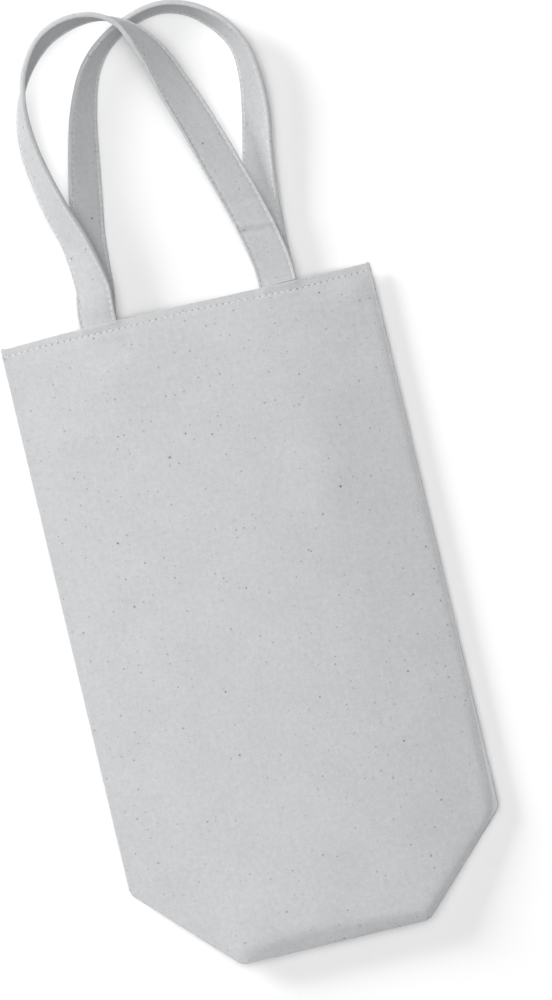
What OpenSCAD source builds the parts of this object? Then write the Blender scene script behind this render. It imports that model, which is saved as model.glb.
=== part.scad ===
// Cotton bottle bag with a square base, lying folded flat on its back.
// X runs across the bag, Y from the base to the mouth, Z up from the resting face.
// The cloth is split at its folds, so that each panel can swing as the bag opens into a box.

/* [Bag] */
// Width of the front and back panels
bag_w = 92; // [76:1:120]
// Depth of the open bag, front to back
bag_d = 89; // [64:1:110]
// Height of the bag from base to mouth
bag_h = 312; // [240:1:380]
// Angle that each folded side still rises at rest
rest_fold = 9; // [8:0.5:13]

/* [Cloth] */
// Thickness of the cotton canvas
cloth_t = 0.6; // [0.4:0.05:0.8]
// Clear gap left at each fold
fold_gap = 0.3; // [0.2:0.05:0.4]

/* [Hem] */
// Depth of the hem that is turned inside at the mouth
hem_depth = 7; // [6:0.5:12]
// Drop of the hem stitching below the mouth
hem_stitch_drop = 4.5; // [3:0.5:5.5]
// Distance that the hem stays away from a panel crease
hem_crease_gap = 1.2; // [1:0.1:2]

/* [Sewing] */
// Length of one stitch
stitch_l = 2.2; // [1.5:0.1:3]
// Pitch of the stitches
stitch_pitch = 3; // [2.5:0.1:4]
// Width of the thread
thread_w = 0.6; // [0.4:0.1:0.8]
// Height of the thread above the cloth
thread_h = 0.25; // [0.15:0.05:0.4]
// Width of the seam allowance inside the bag
seam_w = 7; // [5:0.5:9]

/* [Handles] */
// Width of the folded strap
strap_w = 18.5; // [15:0.5:20]
// Thickness of the folded strap
strap_t = 2; // [1.4:0.1:2.4]
// Distance between the two ends of one handle, middle to middle
strap_spacing = 88; // [80:1:92]
// Offset of both handles from the middle of the bag
strap_shift = 1.9; // [0:0.1:3]
// Length of each strap end that is sewn in behind the hem
strap_end_l = 6.5; // [5:0.5:10]
// Reach of the front handle beyond the mouth
front_reach = 144.5; // [120:0.5:170]
// Reach of the back handle beyond the mouth
back_reach = 141.6; // [120:0.5:170]
// Distance of the strap's topstitching from its edge
topstitch_inset = 1.8; // [1.5:0.1:2.5]
// Clear gap where the front handle lies over the back handle
cross_gap = 0.8; // [0.6:0.1:2]

/* [Hidden] */

canvas_grey = [0.83, 0.835, 0.84];
facing_grey = [0.79, 0.795, 0.80];
strap_grey = [0.80, 0.805, 0.81];
thread_white = [0.93, 0.93, 0.92];

half_w = bag_w / 2;
half_d = bag_d / 2;
half_h = bag_h / 2;

// The fold lines lie half a fold gap inside the cloth
skin_in = fold_gap / 2;
skin_out = skin_in + cloth_t;
fold_z = skin_out;
rise = bag_d * sin(rest_fold);
mid_z = fold_z + rise / 2;
front_z = fold_z + rise + skin_in;

// Length near a sharp fold where there is no room for a second layer
fold_cut = (cloth_t + fold_gap) / tan(rest_fold);
// Length of wedge where two seam layers have no room
seam_cut = (2 * cloth_t + fold_gap) / tan(rest_fold);
// A base corner hangs back from the fold plane while the bag opens
corner_lag_share = 0.085;
corner_cut = fold_cut * 1.1;
corner_foot_cut = corner_cut + bag_d * corner_lag_share / 2;
corner_seam_gap = 2 * (cloth_t + fold_gap);
corner_fold = 180 - 2 * atan(tan(rest_fold) / sqrt(2));

// The base halves cross from one side of their fold line to the other
base_tilt = atan((cloth_t + fold_gap) / half_d);

// Sewn strap ends, which stop short of the crease that they lie across
end_x = strap_spacing / 2;
end_limit_x = half_w - cloth_t - fold_gap;
end_lift = 2 * cloth_t;

module canvas() color(canvas_grey) children();
module facing() color(facing_grey) children();
module strap_cloth() color(strap_grey) children();
module thread() color(thread_white) children();

// Mirrors what lies at the back to the front of the folded bag
module at_front() translate([0, 0, 2 * mid_z]) mirror([0, 0, 1]) children();
module at_left() mirror([1, 0, 0]) children();

// Frame of the right back side: u from its crease to the side fold, v up from the base
module side_frame()
    translate([half_w, -half_h, fold_z])
        rotate([0, -rest_fold, 0])
            children();

// Frame of the back base half: v from the bottom edge to the middle of the base
module base_frame()
    translate([0, -half_h, fold_z])
        rotate([rest_fold, 0, 0])
            children();

// Wall panels
module panel_blank()
    translate([-half_w + skin_in, -half_h + skin_in, 0])
        cube([bag_w - fold_gap, bag_h - skin_in, cloth_t]);

module side_blank()
    side_frame()
        translate([0, 0, -skin_out])
            linear_extrude(cloth_t)
                polygon([
                    [skin_in, 2 * skin_in + fold_gap],
                    [half_d - skin_in, half_d + fold_gap],
                    [half_d - skin_in, bag_h],
                    [skin_in, bag_h]
                ]);

// Base and corners
module base_blank()
    base_frame()
        translate([0, 0, skin_in])
            rotate([-base_tilt, 0, 0])
                translate([-half_w + corner_seam_gap, skin_in, 0])
                    cube([bag_w - 2 * corner_seam_gap, half_d - fold_gap, cloth_t]);

module corner_blank()
    side_frame()
        rotate(a = -corner_fold, v = [1, 1, 0])
            translate([0, 0, -skin_out])
                linear_extrude(cloth_t)
                    polygon([
                        [corner_seam_gap + fold_gap, corner_seam_gap],
                        [half_d - corner_foot_cut, corner_seam_gap],
                        [half_d - corner_cut, half_d - corner_cut - fold_gap]
                    ]);

// Hem layers turned inside the mouth
module panel_hem_blank()
    translate([-half_w + hem_crease_gap, half_h - hem_depth, cloth_t])
        cube([bag_w - 2 * hem_crease_gap, hem_depth, cloth_t]);

module side_hem_blank()
    side_frame()
        translate([hem_crease_gap, bag_h - hem_depth, -skin_in])
            cube([half_d - hem_crease_gap - fold_cut, hem_depth, cloth_t]);

// Rows of hem stitches
module stitch_row(length) {
    count = floor((length - stitch_l) / stitch_pitch);
    start = (length - count * stitch_pitch - stitch_l) / 2;
    for (i = [0 : count])
        translate([start + i * stitch_pitch, -thread_w / 2, 0])
            cube([stitch_l, thread_w, thread_h]);
}

module side_stitch_blank()
    side_frame()
        translate([hem_depth / 2, bag_h - hem_stitch_drop, -skin_out - thread_h])
            stitch_row(half_d - hem_depth);

// Seam allowances inside the bag
module side_seam_blank()
    side_frame()
        translate([0, half_d + seam_cut, -skin_in])
            rotate([90, 0, 0])
                mirror([0, 0, 1])
                    linear_extrude(bag_h - half_d - seam_cut - hem_depth - fold_gap)
                        polygon([
                            [half_d - fold_gap, 0],
                            [half_d - seam_w - fold_gap, 0],
                            [half_d - seam_w - fold_gap, 2 * cloth_t]
                        ]);

module base_seam_blank()
    base_frame()
        translate([0, 0, skin_in])
            rotate([-base_tilt, 0, 0])
                translate([half_w - corner_seam_gap - seam_w, seam_cut, -2 * cloth_t])
                    cube([seam_w, half_d - seam_cut - fold_cut, 2 * cloth_t]);

// Strap ends sewn in behind the hem: from is the inner edge of the strap
module strap_end_blank(from)
    translate([from, half_h - strap_end_l, end_lift])
        cube([end_limit_x - from, strap_end_l, strap_t]);

module strap_ends_blank() {
    strap_end_blank(end_x + strap_shift - strap_w / 2);
    at_left() strap_end_blank(end_x - strap_shift - strap_w / 2);
}

// Handle routes from the left end to the right one
// Each row: place across as a share of the half spacing, reach as a share of the full reach,
// lift as a share from the mouth to the highest stretch, and the tilt of the strap in degrees
front_route_shares = [
    [-1.000, 0.000, 0.00, 0], [-0.997, 0.036, 0.03, 6], [-0.981, 0.083, 0.08, 16],
    [-0.968, 0.138, 0.15, 29], [-1.034, 0.275, 0.30, 47], [-1.145, 0.389, 0.42, 53],
    [-1.232, 0.490, 0.54, 59], [-1.298, 0.608, 0.68, 66], [-1.296, 0.716, 0.82, 76],
    [-1.236, 0.800, 0.92, 87], [-1.102, 0.886, 0.97, 98], [-0.880, 0.958, 1.00, 105],
    [-0.600, 0.996, 1.00, 103], [-0.291, 0.998, 1.00, 94], [-0.048, 0.964, 1.00, 82],
    [0.120, 0.908, 0.98, 68], [0.268, 0.824, 0.90, 53], [0.382, 0.727, 0.78, 42],
    [0.548, 0.583, 0.60, 30], [0.723, 0.407, 0.38, 20], [0.845, 0.275, 0.24, 15],
    [0.940, 0.158, 0.13, 11], [0.985, 0.081, 0.06, 6], [0.998, 0.034, 0.02, 2],
    [1.000, 0.000, 0.00, 0]
];
back_route_shares = [
    [-1.000, 0.000, 0.00, 0], [-0.996, 0.036, 0.04, 4], [-0.970, 0.085, 0.12, 10],
    [-0.941, 0.139, 0.22, 17], [-0.902, 0.292, 0.55, 27], [-0.834, 0.411, 0.80, 32],
    [-0.743, 0.558, 1.00, 40], [-0.634, 0.707, 1.00, 51], [-0.470, 0.838, 1.00, 64],
    [-0.241, 0.921, 1.00, 72], [0.050, 0.974, 1.00, 75], [0.332, 0.999, 1.00, 75],
    [0.586, 0.993, 1.00, 75], [0.839, 0.957, 1.00, 73], [1.070, 0.886, 1.00, 71],
    [1.197, 0.800, 1.00, 67], [1.228, 0.691, 1.00, 58], [1.198, 0.581, 0.95, 48],
    [1.122, 0.456, 0.80, 41], [1.055, 0.321, 0.55, 33], [1.012, 0.179, 0.30, 21],
    [1.001, 0.090, 0.14, 10], [1.000, 0.036, 0.04, 3], [1.000, 0.000, 0.00, 0]
];

// Steps between two rows of a route
route_steps = 3;
// Place of the first ring of a handle beyond the mouth
loop_start = fold_gap;
back_top_z = strap_w;
front_root_z = front_z - cloth_t - strap_t / 2;
front_top_z = back_top_z + cross_gap + strap_w / 2;

// Smooth curve through the rows of a route
function route_end(rows, i) = rows[min(max(i, 0), len(rows) - 1)];
function curve(a, b, c, d, s) =
    (2 * b + (c - a) * s + (2 * a - 5 * b + 4 * c - d) * s * s
        + (3 * b - a - 3 * c + d) * s * s * s) / 2;
function route_at(rows, s) =
    let (i = min(floor(s), len(rows) - 2))
    curve(route_end(rows, i - 1), rows[i], rows[i + 1], route_end(rows, i + 2), s - i);

function unit(v) = v / norm(v);
function back_z(lift, tilt) =
    end_lift * max(1 - lift, 0) + strap_w / 2 * sin(tilt) + strap_t / 2 * cos(tilt);
function front_z_at(lift) = front_root_z + (front_top_z - front_root_z) * lift;

// Middle of the strap at a place of its route
function front_mid(s) =
    let (r = route_at(front_route_shares, s))
    [strap_shift + r[0] * end_x, half_h + loop_start + r[1] * front_reach, front_z_at(r[2])];
function back_mid(s) =
    let (r = route_at(back_route_shares, s))
    [strap_shift + r[0] * end_x, half_h + loop_start + r[1] * back_reach, back_z(r[2], r[3])];

// Outward direction in the plane of the bag, square to the route
function outward(a, b) =
    let (d = unit([b[0] - a[0], b[1] - a[1], 0]))
    [-d[1], d[0], 0];

// A strap's section at one place: its middle, its width direction and its face direction
nudge_share = 0.02;
function front_frame(s, last) =
    let (a = front_mid(max(s - nudge_share, 0)), b = front_mid(min(s + nudge_share, last)))
    let (n = s == 0 || s == last ? [s == 0 ? -1 : 1, 0, 0] : outward(a, b))
    let (tilt = route_at(front_route_shares, s)[3])
    [front_mid(s), cos(tilt) * n - [0, 0, sin(tilt)], sin(tilt) * n + [0, 0, cos(tilt)]];
function back_frame(s, last) =
    let (a = back_mid(max(s - nudge_share, 0)), b = back_mid(min(s + nudge_share, last)))
    let (n = s == 0 || s == last ? [s == 0 ? -1 : 1, 0, 0] : outward(a, b))
    let (tilt = route_at(back_route_shares, s)[3])
    [back_mid(s), cos(tilt) * n + [0, 0, sin(tilt)], [0, 0, cos(tilt)] - sin(tilt) * n];

function frames(front) =
    let (last = len(front ? front_route_shares : back_route_shares) - 1)
    [for (i = [0 : last * route_steps])
        front ? front_frame(i / route_steps, last) : back_frame(i / route_steps, last)];

// Closed band swept along the frames, with its section given as [across, above] points
// Each face between two rings is cut along one diagonal, or along the other when crossed
module band(frame_list, section, crossed = false) {
    n = len(section);
    rings = len(frame_list);
    points = [for (f = frame_list) for (p = section) f[0] + p[0] * f[1] + p[1] * f[2]];
    sides = [for (i = [0 : rings - 2]) for (j = [0 : n - 1])
        let (a = i * n + j, b = (i + 1) * n + j)
        let (c = (i + 1) * n + (j + 1) % n, d = i * n + (j + 1) % n)
        for (half = crossed ? [[a, b, c], [a, c, d]] : [[a, b, d], [b, c, d]])
            half];
    caps = [
        [for (j = [0 : n - 1]) j],
        [for (j = [0 : n - 1]) rings * n - 1 - j]
    ];
    polyhedron(points, concat(sides, caps));
}

edge_round = strap_t / 4;
row_x = strap_w / 2 - topstitch_inset;
// The upper side has a strip of its own under each row of topstitching
strap_section = [
    [-strap_w / 2, -strap_t / 2 + edge_round], [-strap_w / 2 + edge_round, -strap_t / 2],
    [strap_w / 2 - edge_round, -strap_t / 2], [strap_w / 2, -strap_t / 2 + edge_round],
    [strap_w / 2, strap_t / 2 - edge_round], [strap_w / 2 - edge_round, strap_t / 2],
    [row_x + thread_w / 2, strap_t / 2], [row_x - thread_w / 2, strap_t / 2],
    [-row_x + thread_w / 2, strap_t / 2], [-row_x - thread_w / 2, strap_t / 2],
    [-strap_w / 2 + edge_round, strap_t / 2], [-strap_w / 2, strap_t / 2 - edge_round]
];

function thread_section(across) = [
    [across - thread_w / 2, strap_t / 2], [across + thread_w / 2, strap_t / 2],
    [across + thread_w / 2, strap_t / 2 + thread_h], [across - thread_w / 2, strap_t / 2 + thread_h]
];

module handle_stitching_blank(front)
    for (side = [-1, 1])
        band(frames(front), thread_section(side * row_x), crossed = true);

// Sub-parts, one for each node
module back_panel() canvas() panel_blank();
module front_panel() canvas() at_front() panel_blank();
module right_back_side() canvas() side_blank();
module right_front_side() canvas() at_front() side_blank();
module left_back_side() canvas() at_left() side_blank();
module left_front_side() canvas() at_front() at_left() side_blank();

module base_back_half() canvas() base_blank();
module base_front_half() canvas() at_front() base_blank();
module right_back_corner() canvas() corner_blank();
module right_front_corner() canvas() at_front() corner_blank();
module left_back_corner() canvas() at_left() corner_blank();
module left_front_corner() canvas() at_front() at_left() corner_blank();

module back_hem() facing() panel_hem_blank();
module front_hem() facing() at_front() panel_hem_blank();
module right_back_hem() facing() side_hem_blank();
module right_front_hem() facing() at_front() side_hem_blank();
module left_back_hem() facing() at_left() side_hem_blank();
module left_front_hem() facing() at_front() at_left() side_hem_blank();

module back_hem_stitching()
    thread()
        translate([strap_shift - end_x + strap_w / 2, half_h - hem_stitch_drop, end_lift])
            stitch_row(strap_spacing - strap_w);
module front_hem_stitching()
    thread()
        translate([-half_w + hem_crease_gap, half_h - hem_stitch_drop, front_z + cloth_t])
            stitch_row(bag_w - 2 * hem_crease_gap);
module right_back_hem_stitching() thread() side_stitch_blank();
module right_front_hem_stitching() thread() at_front() side_stitch_blank();
module left_back_hem_stitching() thread() at_left() side_stitch_blank();
module left_front_hem_stitching() thread() at_front() at_left() side_stitch_blank();

module right_side_seam() facing() side_seam_blank();
module left_side_seam() facing() at_left() side_seam_blank();
module base_back_seams() facing() {
    base_seam_blank();
    at_left() base_seam_blank();
}
module base_front_seams() facing() at_front() {
    base_seam_blank();
    at_left() base_seam_blank();
}

module back_handle_ends() strap_cloth() strap_ends_blank();
module front_handle_ends() strap_cloth() at_front() strap_ends_blank();
module back_handle() strap_cloth() band(frames(false), strap_section);
module front_handle() strap_cloth() band(frames(true), strap_section);
module back_handle_stitching() thread() handle_stitching_blank(false);
module front_handle_stitching() thread() handle_stitching_blank(true);

back_panel();
front_panel();
left_back_side();
left_front_side();
right_back_side();
right_front_side();
base_back_half();
base_front_half();
left_back_corner();
left_front_corner();
right_back_corner();
right_front_corner();
back_hem();
front_hem();
left_back_hem();
left_front_hem();
right_back_hem();
right_front_hem();
back_hem_stitching();
front_hem_stitching();
left_front_hem_stitching();
right_front_hem_stitching();
left_back_hem_stitching();
right_back_hem_stitching();
left_side_seam();
right_side_seam();
base_back_seams();
base_front_seams();
back_handle_ends();
front_handle_ends();
back_handle();
front_handle();
back_handle_stitching();
front_handle_stitching();
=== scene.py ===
from math import asin, atan, ceil, copysign, cos, degrees, exp, floor, log, log1p, pi, radians, sin, sqrt, tan

import bmesh
import bpy
from mathutils import Matrix, Vector, noise


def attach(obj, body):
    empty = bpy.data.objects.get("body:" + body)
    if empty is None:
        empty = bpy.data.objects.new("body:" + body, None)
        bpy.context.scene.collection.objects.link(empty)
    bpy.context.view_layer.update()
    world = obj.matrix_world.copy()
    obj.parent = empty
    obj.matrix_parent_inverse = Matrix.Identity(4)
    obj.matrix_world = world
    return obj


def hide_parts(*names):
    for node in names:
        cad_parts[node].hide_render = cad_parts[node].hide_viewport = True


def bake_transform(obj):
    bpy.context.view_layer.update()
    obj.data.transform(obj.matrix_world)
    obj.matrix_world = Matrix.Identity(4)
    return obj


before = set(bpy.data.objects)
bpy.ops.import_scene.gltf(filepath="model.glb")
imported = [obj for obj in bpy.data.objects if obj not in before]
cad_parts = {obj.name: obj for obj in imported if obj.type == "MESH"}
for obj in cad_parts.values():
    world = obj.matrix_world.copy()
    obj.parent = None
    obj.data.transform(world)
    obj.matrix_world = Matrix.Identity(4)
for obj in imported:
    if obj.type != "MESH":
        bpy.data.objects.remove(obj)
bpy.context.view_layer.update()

# A cotton bottle bag, folded flat on its back, with two strap handles
# Sizes are in millimetres and angles in degrees; meshes are turned to metres when they are made
MM = 0.001

# The bag, as in the frame
BAG_W, BAG_D, BAG_H = 92.0, 89.0, 312.0
REST_FOLD = 9.0
CLOTH_T = 0.6
FOLD_GAP = 0.3
HEM_DEPTH = 7.0
HEM_STITCH_DROP = 3.9
STRAP_W, STRAP_T = 18.5, 2.0
STRAP_SPACING, STRAP_SHIFT = 88.0, 1.9
STRAP_END_L = 6.5
FRONT_REACH, BACK_REACH = 144.5, 141.6
CROSS_GAP = 0.8
TOPSTITCH_INSET = 1.8
SEAM_W = 7.0

HALF_W, HALF_D, HALF_H = BAG_W / 2, BAG_D / 2, BAG_H / 2
COS_FOLD, SIN_FOLD = cos(radians(REST_FOLD)), sin(radians(REST_FOLD))
SLOPE = SIN_FOLD / COS_FOLD
SKIN_IN = FOLD_GAP / 2
SKIN_OUT = SKIN_IN + CLOTH_T
MID_Z = SKIN_OUT + BAG_D * SIN_FOLD / 2
TOP_Z = 2 * MID_Z
MOUTH_Y = HALF_H

# Side folds: their axis, and the last place of a flat wall before the fold's round
FOLD_X = HALF_W + HALF_D * COS_FOLD
WALL_END_X = FOLD_X + SKIN_OUT * SIN_FOLD
OUTER_X = FOLD_X + SKIN_OUT
FOLD_END = 90 - REST_FOLD
FOLD_L = radians(2 * FOLD_END) * SKIN_OUT
# The base corners slant at this angle
SLANT = radians(45)

# How the cloth bends and lies
CREASE_SOFT, CREASE_SHARP = 7.0, 1.2
BACK_CREASE_SOFT, BACK_CREASE_SHARP = 3.0, 1.0
CREASE_SOFT_FROM = 45.0
BLEND_REACH = 4.0
SIDE_CORNER_R = 6.0
BASE_CORNER_R = 3.0
BOTTOM_CORNER_SOFT = 0.9
HEM_R = 0.66
MOUTH_BOW, BOW_X, BOW_W = 1.0, -28, 45
BACK_SLACK, BACK_LIFT, BACK_HEM_LIFT, BASE_SLACK = 0.22, 0.05, 0.15, 0.4
LIP_END, FOLD_LIP_END, CORNER_LIP_END = 180 - REST_FOLD, 100.0, 90.0

# The front stands proud of its folded plane like a thin pillow. Across the bag it keeps to slopes, each of
# which starts at a place and bends in softly, and it is a little fuller in the middle low down
CROWN_H, CROWN_BEND = 5.2, 6.0
CROWN_SLOPES = [(-HALF_W, 0.08), (8.0, -0.035), (40.0, -0.04)]
CROWN_LEFT_H, CROWN_LEFT_W = 0.6, 14.0
LOW_PUFF, LOW_PUFF_YS, LOW_PUFF_LEFT, LOW_PUFF_RIGHT = 2.2, (-105, -140), (-56, -34), (25, -15)
PUFF_BLEND = 0.8
MOUTH_FALL_FROM = 20.0
# The roll at its lower edge: the slope at the left corner, in the middle and at the right corner, the width
# over which it is full, where it ends, and the faint rise after it. It is narrower at the right, and pinched
# in at a place
LOWER_SLOPE_LEFT, LOWER_SLOPE, LOWER_SLOPE_RIGHT = 0.28, 0.52, 0.66
LOWER_FULL, LOWER_END, LOWER_ON = 3.5, 15.5, 0.06
NARROW_FULL, NARROW_FULL_XS = 1.5, (34, 50)
NARROW_END, NARROW_END_XS = 3.0, (40, 56)
PINCH_X, PINCH_W, PINCH_FULL, PINCH_END = 78.0, 8.0, 2.6, 6.0
# The same for the roll at its right side, which is wider low down
SIDE_SLOPE, SIDE_FULL, SIDE_END, SIDE_ON = 0.38, 0.8, 4.0, 0.1
SIDE_FULL_LOW, SIDE_END_LOW, SIDE_LOW_YS = 2.8, 11.0, (-45, -95)
# The slack strip along the lower right corner, and the thin ridge above it
STRIP_BOTTOM_W, STRIP_SLANT_W, STRIP_END_X = 1.2, 3.4, 88.0
STRIP_SLOPE, STRIP_SOFT = 0.3, 0.2
RIDGE_H, RIDGE_W = 0.1, 0.9
# Slack of the front: height, sizes across and along, and place in the noise. Its fine wrinkles are full near
# the mouth and a share of that lower down
SLACK = [(0.45, 47, 66, 3.1), (0.13, 15, 19, 8.4)]
WRINKLE_H, WRINKLE_LOW, WRINKLE_YS = 0.3, 0.3, (60, 120)
# What its hem adds: a turned layer, the stitching's groove, ruffles, strap ends, and a droop between them
HEM_STEP, GROOVE_H, GROOVE_W, RUFFLE_H = 0.05, 0.14, 0.8, 0.07
STRAP_BUMP, STRAP_LIFT, MOUTH_DROOP = 0.2, 0.6, 0.5
# How far in from its edges these all fade
EDGE_FADE = 16
# Soft hills and dents of the front: x, y, half widths across and along, and height
HILLS = [
    (46, 54, 13, 22, 1.0), (79, 144, 8, 8, 1.0), (-36, 132, 13, 13, 1.0), (70, -56, 12, 14, 0.6),
    (-12, -108, 26, 14, 0.6), (34, 112, 16, 8, 0.5), (-66, 104, 14, 9, 0.6),
]

# Places where the walls are cut into pieces, each of which is listed with two bodies at most
FRONT_CUT_X = 0.0
SIDE_CUT_X = 68.0

# Sewing
STITCH_PITCH, STITCH_L = 3.0, 2.35
THREAD_W, THREAD_T = 0.62, 0.5
STITCH_SLANT = 5.0
# The hem's stitching strays from its line in slow waves
WANDER_H, WANDER_L, WANDER_START = 0.45, 13, 0.8

# Pieces take their patterns from different places of the cloth, which start here
BASE_CLOTH_V, CORNER_CLOTH_U, SIDE_SEAM_CLOTH_U, BASE_SEAM_CLOTH_U = 300, 400, 700, 760

SIDES = ((-1, "left"), (1, "right"))
# The sewn-in ends of a strap lie on both sides of these places
STRAP_XS = (STRAP_SHIFT - STRAP_SPACING / 2, STRAP_SHIFT + STRAP_SPACING / 2)


# Small maths

def smooth(low, high, value):
    """0 at low and before it, 1 at high and beyond it, and a smooth step between."""
    t = min(max((value - low) / (high - low), 0.0), 1.0)
    return t * t * (3 - 2 * t)


def softplus(t):
    """0 far below 0, t far above it, and a soft bend between."""
    return t if t > 30 else log1p(exp(t))


def hump(value, width):
    """A bell of height 1 round 0."""
    return exp(-(value / width) ** 2)


def rough(*at):
    """Smooth noise, mostly between -0.5 and 0.5, at a place in space."""
    return noise.noise(Vector(at))


def steps(start, end, spacing):
    """Evenly spaced values from start to end, both included."""
    count = max(1, round(abs(end - start) / spacing))
    return [start + (end - start) * i / count for i in range(count + 1)]


def chain(*lists):
    """Joins lists of values, and leaves out a value that repeats the one before."""
    joined = []
    for values in lists:
        for value in values:
            if not joined or joined[-1] != value:
                joined.append(value)
    return joined


# Meshes

def finish_mesh(name, bm, material, smooth_below=55):
    """Makes an object in metres from a bmesh in millimetres, with edges sharper than an angle left sharp."""
    limit = radians(smooth_below)
    for face in bm.faces:
        face.smooth = True
    for edge in bm.edges:
        edge.smooth = len(edge.link_faces) != 2 or edge.calc_face_angle() < limit
    bmesh.ops.transform(bm, matrix=Matrix.Scale(MM, 4), verts=bm.verts[:])
    mesh = bpy.data.meshes.new(name)
    bm.to_mesh(mesh)
    bm.free()
    mesh.materials.append(material)
    piece = bpy.data.objects.new(name, mesh)
    bpy.context.scene.collection.objects.link(piece)
    return piece


def make_piece(name, bm, material, nodes, smooth_below=55):
    """Makes a visible piece with a material, and hides the CAD's nodes that it stands for."""
    piece = finish_mesh(name, bm, material, smooth_below)
    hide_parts(*nodes)
    return piece


def grid(columns, rows, place, flat):
    """A bmesh grid: place(column, row) puts a vertex, and flat(column, row) is where it is in the cloth."""
    bm = bmesh.new()
    bmesh.ops.create_grid(bm, x_segments=len(columns) - 1, y_segments=len(rows) - 1, size=0.5)
    bm.verts.ensure_lookup_table()
    layer = bm.loops.layers.uv.new("cloth")
    flats = []
    for i, vert in enumerate(bm.verts):
        column, row = columns[i % len(columns)], rows[i // len(columns)]
        vert.co = place(column, row)
        u, v = flat(column, row)
        flats.append((u * MM, v * MM))
    bm.verts.index_update()
    for face in bm.faces:
        for loop in face.loops:
            loop[layer].uv = flats[loop.vert.index]
    return bm


def thicken(bm, thickness):
    """Gives a grid a second layer behind its faces, and closes the rim."""
    bm.normal_update()
    made = bmesh.ops.extrude_face_region(bm, geom=bm.faces[:], use_keep_orig=True)
    for item in made["geom"]:
        if isinstance(item, bmesh.types.BMVert):
            item.co -= item.normal * thickness
    bmesh.ops.recalc_face_normals(bm, faces=bm.faces[:])


def make_cloth(name, columns, rows, place, flat, material, nodes, limit_x=None):
    """Makes a piece of cloth from the grid of its outer face, kept within a distance from the middle."""
    bm = grid(columns, rows, place, flat)
    thicken(bm, CLOTH_T)
    if limit_x:
        for vert in bm.verts:
            vert.co.x = max(-limit_x, min(limit_x, vert.co.x))
    return make_piece(name, bm, material, nodes)


# Walls of the bag
# A column is (part, place, side): a place across on the front or the back, or an angle round a side fold

def bottom_y(column):
    """Y of a wall's lower edge: the bottom, the slant of a base corner, or its round at the side fold."""
    part, at, side = column
    x = WALL_END_X if part == "fold" else abs(at)
    round_x = WALL_END_X - SIDE_CORNER_R
    if x < round_x + SIDE_CORNER_R * cos(SLANT):
        return -HALF_H + BOTTOM_CORNER_SOFT * softplus((x - HALF_W) / BOTTOM_CORNER_SOFT) / COS_FOLD
    round_y = -HALF_H + (WALL_END_X - HALF_W) / COS_FOLD + SIDE_CORNER_R * tan(SLANT / 2)
    return round_y - sqrt(max(SIDE_CORNER_R ** 2 - (x - round_x) ** 2, 0))


def wall_drop(x, y, soft, sharp):
    """How far a wall has come down from its flat middle at a place: it bends softly at the panel crease."""
    bend = sharp + (soft - sharp) * smooth(-HALF_H, -HALF_H + CREASE_SOFT_FROM, y)
    return SLOPE * bend * softplus((abs(x) - HALF_W) / bend)


def rise(distance, slope, full, end):
    """Height gained from an edge inwards, on a slope that is full at first and fades out at the end."""
    if distance <= full:
        return slope * distance
    t = min(1.0, (distance - full) / (end - full))
    return slope * (full + (end - full) * (t - t ** 3 + t ** 4 / 2))


def soft_least(*heights):
    """The least of some heights, with soft turns between them."""
    return -PUFF_BLEND * log(sum(exp(-h / PUFF_BLEND) for h in heights))


def strip_width(x):
    """Width of the steep strip along the lower edge: widest at the lower right corner."""
    width = STRIP_BOTTOM_W * smooth(-HALF_W, HALF_W, x)
    width += (STRIP_SLANT_W - STRIP_BOTTOM_W) * smooth(HALF_W - 3, HALF_W + 3, x)
    return width * (1 - max(0.0, min(1.0, (x - HALF_W - 2) / (STRIP_END_X - HALF_W - 2))))


def edge_slope(x):
    """How steeply the front rises right at its lower edge, by its roll and by its slack strip."""
    near_tip = smooth(0, 7, WALL_END_X - abs(x))
    slope = LOWER_SLOPE_LEFT + (LOWER_SLOPE - LOWER_SLOPE_LEFT) * smooth(-HALF_W - 6, -HALF_W + 14, x)
    slope += (LOWER_SLOPE_RIGHT - LOWER_SLOPE) * smooth(-10, HALF_W, x)
    return slope * near_tip, STRIP_SLOPE * smooth(0, 0.8, strip_width(x)) * near_tip


def lower_rise(x, from_edge):
    """How far the front rises from its lower edge, by its roll, its slack strip and the ridge above that."""
    slope, strip_slope = edge_slope(x)
    pinch = hump(x - PINCH_X, PINCH_W)
    end = LOWER_END - NARROW_END * smooth(*NARROW_END_XS, x) - PINCH_END * pinch
    full = LOWER_FULL - NARROW_FULL * smooth(*NARROW_FULL_XS, x) - PINCH_FULL * pinch
    height = rise(from_edge, slope, full, end) + LOWER_ON * max(0.0, from_edge - full)
    strip = strip_width(x)
    height += strip_slope * (strip - softplus((strip - from_edge) / STRIP_SOFT) * STRIP_SOFT)
    return height + RIDGE_H * smooth(1.0, 2.2, strip) * hump(from_edge - strip - RIDGE_W, RIDGE_W)


def crown(x, y):
    """How far the front stands up across the bag: highest just right of its middle, and fuller low down."""
    height, before = CROWN_LEFT_H * smooth(0, CROWN_LEFT_W, WALL_END_X + x), 0.0
    height += LOW_PUFF * smooth(*LOW_PUFF_YS, y) * smooth(*LOW_PUFF_LEFT, x) * smooth(*LOW_PUFF_RIGHT, x)
    for start, slope in CROWN_SLOPES:
        height += (slope - before) * CROWN_BEND * softplus((x - start) / CROWN_BEND)
        before = slope
    return height


def side_rise(y, from_side):
    """How far the front rises from its right side: in a soft roll, widest low down."""
    low = smooth(*SIDE_LOW_YS, y)
    end = SIDE_END + (SIDE_END_LOW - SIDE_END) * low
    full = SIDE_FULL + (SIDE_FULL_LOW - SIDE_FULL) * low
    return rise(from_side, SIDE_SLOPE, full, end) + SIDE_ON * from_side


def mouth_rise(y):
    """How far the front rises from its mouth towards its middle."""
    share = max(0.0, y - MOUTH_FALL_FROM) / (MOUTH_Y - MOUTH_FALL_FROM)
    return CROWN_H * (1 - share * share)


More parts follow.
